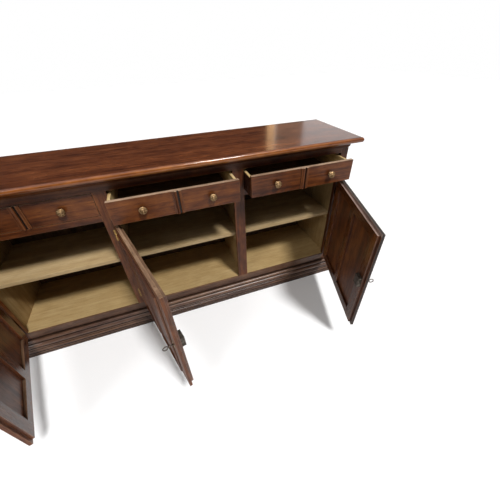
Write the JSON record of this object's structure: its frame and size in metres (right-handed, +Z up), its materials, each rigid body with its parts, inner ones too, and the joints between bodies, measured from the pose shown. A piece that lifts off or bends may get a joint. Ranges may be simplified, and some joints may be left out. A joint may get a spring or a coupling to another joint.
{
  "type": "sideboard",
  "caption": "Long low wooden sideboard: drawers in a row above lipped panelled doors on a stepped moulded plinth, with shelves inside and a key in each door.",
  "frame": {"origin": "on the floor, under the middle of the carcass in width and depth", "axes": "+X to the right as seen from the front, +Y towards the back, +Z up"},
  "size_m": [1.904, 0.9422, 0.9],
  "materials": {
    "stained_walnut": "dark red-brown stain under glossy varnish",
    "raw_wood": "planed, unfinished, ochre",
    "back_plywood": "matt stained plywood",
    "drawer_wood": "planed, light",
    "aged_brass": "aged, satin",
    "hinge_brass": "dull",
    "lock_iron": "dull, browned",
    "key_steel": "worn"
  },
  "bodies": {
    "carcass": {"top_board": "stained_walnut", "cornice_moulding": "stained_walnut", "base_moulding": "stained_walnut", "skirting_boards": "stained_walnut", "plinth_frame": "raw_wood", "end_stiles": "stained_walnut", "middle_stiles": "stained_walnut", "drawer_rails": "stained_walnut", "top_rail": "stained_walnut", "bottom_rail": "stained_walnut", "end_panels": "stained_walnut", "partitions": "raw_wood", "bottom_board": "raw_wood", "back_panel": "back_plywood", "shelf_left": "raw_wood", "shelf_middle": "raw_wood", "shelf_right": "raw_wood", "shelf_cleats": "raw_wood", "drawer_runners": "raw_wood", "drawer_kickers": "raw_wood", "hinge_frame_leaves": "hinge_brass"},
    "drawer_left": {"drawer_left_front": "stained_walnut", "drawer_left_strip": "stained_walnut", "drawer_left_box": "drawer_wood", "drawer_left_bottom": "drawer_wood", "drawer_left_knobs": "aged_brass"},
    "door_left": {"door_left_frame": "stained_walnut", "door_left_panels": "stained_walnut", "door_left_mouldings": "stained_walnut", "door_left_lock_case": "lock_iron", "door_left_keyhole_plate": "aged_brass", "door_left_hinge_leaves": "hinge_brass"},
    "key_left": {"door_left_key": "key_steel"},
    "bolt_left": {"door_left_lock_bolt": "key_steel"},
    "drawer_middle": {"drawer_middle_front": "stained_walnut", "drawer_middle_strip": "stained_walnut", "drawer_middle_box": "drawer_wood", "drawer_middle_bottom": "drawer_wood", "drawer_middle_knobs": "aged_brass"},
    "door_middle": {"door_middle_frame": "stained_walnut", "door_middle_panels": "stained_walnut", "door_middle_mouldings": "stained_walnut", "door_middle_lock_case": "lock_iron", "door_middle_keyhole_plate": "aged_brass", "door_middle_hinge_leaves": "hinge_brass"},
    "key_middle": {"door_middle_key": "key_steel"},
    "bolt_middle": {"door_middle_lock_bolt": "key_steel"},
    "drawer_right": {"drawer_right_front": "stained_walnut", "drawer_right_strip": "stained_walnut", "drawer_right_box": "drawer_wood", "drawer_right_bottom": "drawer_wood", "drawer_right_knobs": "aged_brass"},
    "door_right": {"door_right_frame": "stained_walnut", "door_right_panels": "stained_walnut", "door_right_mouldings": "stained_walnut", "door_right_lock_case": "lock_iron", "door_right_keyhole_plate": "aged_brass", "door_right_hinge_leaves": "hinge_brass"},
    "key_right": {"door_right_key": "key_steel"},
    "bolt_right": {"door_right_lock_bolt": "key_steel"}
  },
  "joints": [
    {"name": "drawer_left_slide", "type": "slide", "parent": "carcass", "child": "drawer_left", "axis": [0, -1, 0], "range_m": [0, 0.25]},
    {"name": "door_left_swing", "type": "hinge", "parent": "carcass", "child": "door_left", "pos_m": [-0.88, -0.2015, 0.418], "axis": [0, 0, -1], "range_deg": [-74, 31]},
    {"name": "key_left_turn", "type": "hinge", "parent": "door_left", "child": "key_left", "pos_m": [-0.7335, -0.71241, 0.418], "axis": [-0.9613, -0.2756, 0], "range_deg": [0, 360]},
    {"name": "bolt_left_throw", "type": "slide", "parent": "door_left", "child": "bolt_left", "axis": [0.2756, -0.9613, 0], "range_m": [0, 0.012]},
    {"name": "drawer_middle_slide", "type": "slide", "parent": "carcass", "child": "drawer_middle", "axis": [0, -1, 0], "range_m": [-0.109, 0.141]},
    {"name": "door_middle_swing", "type": "hinge", "parent": "carcass", "child": "door_middle", "pos_m": [-0.286, -0.2015, 0.418], "axis": [0, 0, -1], "range_deg": [-74, 31]},
    {"name": "key_middle_turn", "type": "hinge", "parent": "door_middle", "child": "key_middle", "pos_m": [-0.1395, -0.71241, 0.418], "axis": [-0.9613, -0.2756, 0], "range_deg": [0, 360]},
    {"name": "bolt_middle_throw", "type": "slide", "parent": "door_middle", "child": "bolt_middle", "axis": [0.2756, -0.9613, 0], "range_m": [0, 0.012]},
    {"name": "drawer_right_slide", "type": "slide", "parent": "carcass", "child": "drawer_right", "axis": [0, -1, 0], "range_m": [-0.102, 0.148]},
    {"name": "door_right_swing", "type": "hinge", "parent": "carcass", "child": "door_right", "pos_m": [0.88, -0.2015, 0.418], "axis": [0, 0, 1], "range_deg": [-71, 34]},
    {"name": "key_right_turn", "type": "hinge", "parent": "door_right", "child": "key_right", "pos_m": [0.70696, -0.70404, 0.418], "axis": [0.9455, -0.3256, 0], "range_deg": [0, 360]},
    {"name": "bolt_right_throw", "type": "slide", "parent": "door_right", "child": "bolt_right", "axis": [-0.3256, -0.9455, 0], "range_m": [0, 0.012]}
  ],
  "couplings": [
    {"joint": "bolt_left_throw", "follows": "key_left_turn", "m_per_rad": 0.0019099},
    {"joint": "bolt_middle_throw", "follows": "key_middle_turn", "m_per_rad": 0.0019099},
    {"joint": "bolt_right_throw", "follows": "key_right_turn", "m_per_rad": 0.0019099}
  ]
}
